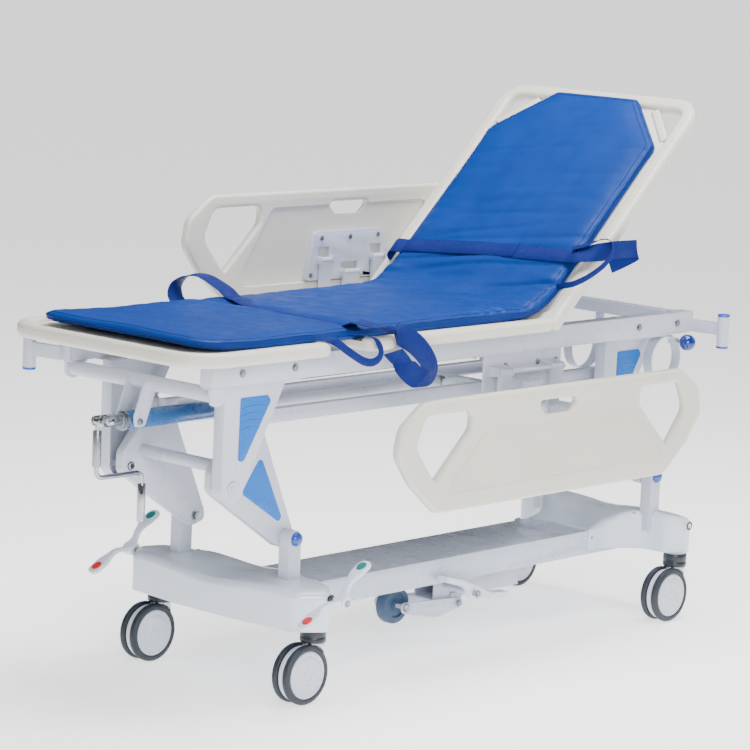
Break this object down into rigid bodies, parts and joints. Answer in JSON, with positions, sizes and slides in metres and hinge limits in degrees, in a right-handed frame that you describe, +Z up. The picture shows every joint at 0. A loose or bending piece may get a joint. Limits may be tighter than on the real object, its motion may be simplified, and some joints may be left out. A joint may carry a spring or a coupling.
{
  "type": "stretcher trolley",
  "caption": "Height-adjustable patient transport trolley with a tilting backrest, swing-down side rails, twin-wheel casters and a blue mattress.",
  "frame": {"origin": "on the floor, under the middle of the overall length and width", "axes": "+X from the foot end to the head end, +Y towards the side with the raised rail, +Z up"},
  "size_m": [2.024, 0.796, 1.4623],
  "materials": {
    "frame_paint": "satin white powder coat",
    "cover_shell": "glossy white moulding",
    "white_shell": "satin off-white blow moulding",
    "steel": "bright steel",
    "chrome": "polished chrome plate",
    "tyre": "dark grey tread on a grey hub",
    "dark": "black painted cylinder",
    "jack_blue": "steel blue gloss paint",
    "knob_blue": "glossy blue ball",
    "mattress": "royal blue coated nylon"
  },
  "bodies": {
    "base": {"base_frame": "frame_paint", "base_foot_cover": "cover_shell", "base_head_cover": "cover_shell", "foot_post_near": "frame_paint", "foot_post_far": "frame_paint", "head_post_near": "frame_paint", "head_post_far": "frame_paint", "fifth_wheel_bracket": "frame_paint"},
    "brake": {"brake_shaft": "steel", "brake_pedal_near": "cover_shell", "brake_pedal_far": "cover_shell"},
    "fifth_arm": {"fifth_wheel_arm": "frame_paint"},
    "fifth_wheel": {"fifth_wheel": "tyre"},
    "fifth_pedal": {"fifth_wheel_pedal": "cover_shell"},
    "foot_rocker": {"foot_rocker": "frame_paint"},
    "head_rocker": {"head_rocker": "frame_paint"},
    "link_frame": {"link_frame": "frame_paint"},
    "upper": {"upper_frame": "frame_paint", "foot_cross_tube": "frame_paint", "foot_hanger_near": "frame_paint", "foot_hanger_far": "frame_paint", "head_hanger_near": "frame_paint", "head_hanger_far": "frame_paint", "spring_cross_tube": "frame_paint", "seat_cross_tube": "frame_paint", "rail_mount_near": "frame_paint", "rail_mount_far": "frame_paint", "oxygen_holder": "frame_paint", "corner_post_head_near": "frame_paint", "corner_post_foot_far": "frame_paint", "leg_deck": "white_shell", "seat_deck": "white_shell", "mattress_seat": "mattress"},
    "jack": {"jack_tube": "jack_blue"},
    "jack_push": {"jack_push_tube": "frame_paint"},
    "crank_fork": {"crank_fork": "chrome"},
    "crank_handle": {"crank_handle": "chrome"},
    "oxygen_knob": {"oxygen_knob": "knob_blue"},
    "back": {"back_panel": "white_shell", "back_frame": "frame_paint", "mattress_back": "mattress"},
    "spring": {"gas_spring_cylinder": "dark"},
    "spring_rod": {"gas_spring_rod": "steel"},
    "caster_foot_near": {"caster_housing_foot_near": "white_shell"},
    "wheels_foot_near": {"caster_wheels_foot_near": "tyre"},
    "caster_foot_far": {"caster_housing_foot_far": "white_shell"},
    "wheels_foot_far": {"caster_wheels_foot_far": "tyre"},
    "caster_head_near": {"caster_housing_head_near": "white_shell"},
    "wheels_head_near": {"caster_wheels_head_near": "tyre"},
    "caster_head_far": {"caster_housing_head_far": "white_shell"},
    "wheels_head_far": {"caster_wheels_head_far": "tyre"},
    "rail_arms_near": {"rail_arms_near": "frame_paint"},
    "rail_near": {"rail_panel_near": "white_shell", "rail_backing_near": "frame_paint"},
    "rail_link_near": {"rail_link_near": "frame_paint"},
    "rail_arms_far": {"rail_arms_far": "frame_paint"},
    "rail_far": {"rail_panel_far": "white_shell", "rail_backing_far": "frame_paint"},
    "rail_link_far": {"rail_link_far": "frame_paint"}
  },
  "joints": [
    {"name": "lift", "type": "hinge", "parent": "base", "child": "foot_rocker", "pos_m": [-0.521, 0, 0.396], "axis": [0, 1, 0], "range_deg": [-45, 15]},
    {"name": "frame_level", "type": "hinge", "parent": "foot_rocker", "child": "upper", "pos_m": [-0.751, 0, 0.547], "axis": [0, 1, 0], "range_deg": [-15, 45]},
    {"name": "link_level", "type": "hinge", "parent": "foot_rocker", "child": "link_frame", "pos_m": [-0.648, 0, 0.693], "axis": [0, 1, 0], "range_deg": [-15, 45]},
    {"name": "head_rocker_swing", "type": "hinge", "parent": "base", "child": "head_rocker", "pos_m": [0.925, 0, 0.396], "axis": [0, 1, 0], "range_deg": [-45, 15]},
    {"name": "jack_pitch", "type": "hinge", "parent": "upper", "child": "jack", "pos_m": [-0.89, 0, 0.697], "axis": [0, 1, 0], "range_deg": [-3, 2]},
    {"name": "jack_extend", "type": "slide", "parent": "jack", "child": "jack_push", "axis": [1, 0, 0], "range_m": [-0.134, 0.046]},
    {"name": "crank_turn", "type": "hinge", "parent": "jack", "child": "crank_fork", "pos_m": [-0.95, 0, 0.701], "axis": [1, 0, 0], "range_deg": [-95, 95]},
    {"name": "crank_fold", "type": "hinge", "parent": "crank_fork", "child": "crank_handle", "pos_m": [-0.996, 0, 0.703], "axis": [0, 1, 0], "range_deg": [0, 90]},
    {"name": "backrest", "type": "hinge", "parent": "upper", "child": "back", "pos_m": [0.292, 0, 0.887], "axis": [0, -1, 0], "range_deg": [-44, 26]},
    {"name": "spring_pitch", "type": "hinge", "parent": "upper", "child": "spring", "pos_m": [-0.38, 0, 0.772], "axis": [0, -1, 0], "range_deg": [-1.5, 1.5]},
    {"name": "spring_stroke", "type": "slide", "parent": "spring", "child": "spring_rod", "axis": [0.9999, 0, -0.0127], "range_m": [-0.092, 0.056]},
    {"name": "brake_rock", "type": "hinge", "parent": "base", "child": "brake", "pos_m": [-0.521, 0, 0.268], "axis": [0, 1, 0], "range_deg": [0, 54]},
    {"name": "fifth_lower", "type": "hinge", "parent": "base", "child": "fifth_arm", "pos_m": [0.29, 0, 0.093], "axis": [0, -1, 0], "range_deg": [0, 16]},
    {"name": "fifth_spin", "type": "hinge", "parent": "fifth_arm", "child": "fifth_wheel", "pos_m": [0.08, 0, 0.108], "axis": [0, 1, 0], "continuous": true},
    {"name": "fifth_pedal_rock", "type": "hinge", "parent": "base", "child": "fifth_pedal", "pos_m": [0.246, -0.133, 0.143], "axis": [0, -1, 0], "range_deg": [0, 25]},
    {"name": "knob_turn", "type": "hinge", "parent": "upper", "child": "oxygen_knob", "pos_m": [0.931, -0.283, 0.783], "axis": [0, 1, 0], "continuous": true},
    {"name": "swivel_foot_near", "type": "hinge", "parent": "base", "child": "caster_foot_near", "pos_m": [-0.51, -0.272, 0.13], "axis": [0, 0, 1], "continuous": true},
    {"name": "roll_foot_near", "type": "hinge", "parent": "caster_foot_near", "child": "wheels_foot_near", "pos_m": [-0.551, -0.272, 0.075], "axis": [0, 1, 0], "continuous": true},
    {"name": "swivel_foot_far", "type": "hinge", "parent": "base", "child": "caster_foot_far", "pos_m": [-0.51, 0.272, 0.13], "axis": [0, 0, 1], "continuous": true},
    {"name": "roll_foot_far", "type": "hinge", "parent": "caster_foot_far", "child": "wheels_foot_far", "pos_m": [-0.551, 0.272, 0.075], "axis": [0, 1, 0], "continuous": true},
    {"name": "swivel_head_near", "type": "hinge", "parent": "base", "child": "caster_head_near", "pos_m": [0.95, -0.272, 0.13], "axis": [0, 0, 1], "continuous": true},
    {"name": "roll_head_near", "type": "hinge", "parent": "caster_head_near", "child": "wheels_head_near", "pos_m": [0.909, -0.272, 0.075], "axis": [0, 1, 0], "continuous": true},
    {"name": "swivel_head_far", "type": "hinge", "parent": "base", "child": "caster_head_far", "pos_m": [0.95, 0.272, 0.13], "axis": [0, 0, 1], "continuous": true},
    {"name": "roll_head_far", "type": "hinge", "parent": "caster_head_far", "child": "wheels_head_far", "pos_m": [0.909, 0.272, 0.075], "axis": [0, 1, 0], "continuous": true},
    {"name": "rail_swing_near", "type": "hinge", "parent": "upper", "child": "rail_arms_near", "pos_m": [0.247, -0.296, 0.767], "axis": [-1, 0, 0], "range_deg": [0, 148.18]},
    {"name": "rail_level_near", "type": "hinge", "parent": "rail_arms_near", "child": "rail_near", "pos_m": [0.247, -0.358, 0.5495], "axis": [-1, 0, 0], "range_deg": [-148.18, 0]},
    {"name": "rail_link_swing_near", "type": "hinge", "parent": "upper", "child": "rail_link_near", "pos_m": [0.247, -0.296, 0.73], "axis": [-1, 0, 0], "range_deg": [0, 148.18]},
    {"name": "rail_swing_far", "type": "hinge", "parent": "upper", "child": "rail_arms_far", "pos_m": [0.247, 0.296, 0.767], "axis": [1, 0, 0], "range_deg": [-148.18, 0]},
    {"name": "rail_level_far", "type": "hinge", "parent": "rail_arms_far", "child": "rail_far", "pos_m": [0.247, 0.358, 0.9845], "axis": [1, 0, 0], "range_deg": [0, 148.18]},
    {"name": "rail_link_swing_far", "type": "hinge", "parent": "upper", "child": "rail_link_far", "pos_m": [0.247, 0.296, 0.73], "axis": [1, 0, 0], "range_deg": [-148.18, 0]}
  ],
  "couplings": [
    {"joint": "frame_level", "follows": "lift", "ratio": -1},
    {"joint": "link_level", "follows": "lift", "ratio": -1},
    {"joint": "head_rocker_swing", "follows": "lift", "ratio": 1},
    {"joint": "jack_pitch", "follows": "lift", "ratio": 0.05},
    {"joint": "jack_extend", "follows": "lift", "m_per_rad": 0.168},
    {"joint": "spring_pitch", "follows": "backrest", "ratio": -0.02},
    {"joint": "spring_stroke", "follows": "backrest", "m_per_rad": 0.118},
    {"joint": "fifth_pedal_rock", "follows": "fifth_lower", "ratio": 1.5},
    {"joint": "rail_level_near", "follows": "rail_swing_near", "ratio": -1},
    {"joint": "rail_link_swing_near", "follows": "rail_swing_near", "ratio": 1},
    {"joint": "rail_level_far", "follows": "rail_swing_far", "ratio": -1},
    {"joint": "rail_link_swing_far", "follows": "rail_swing_far", "ratio": 1}
  ]
}
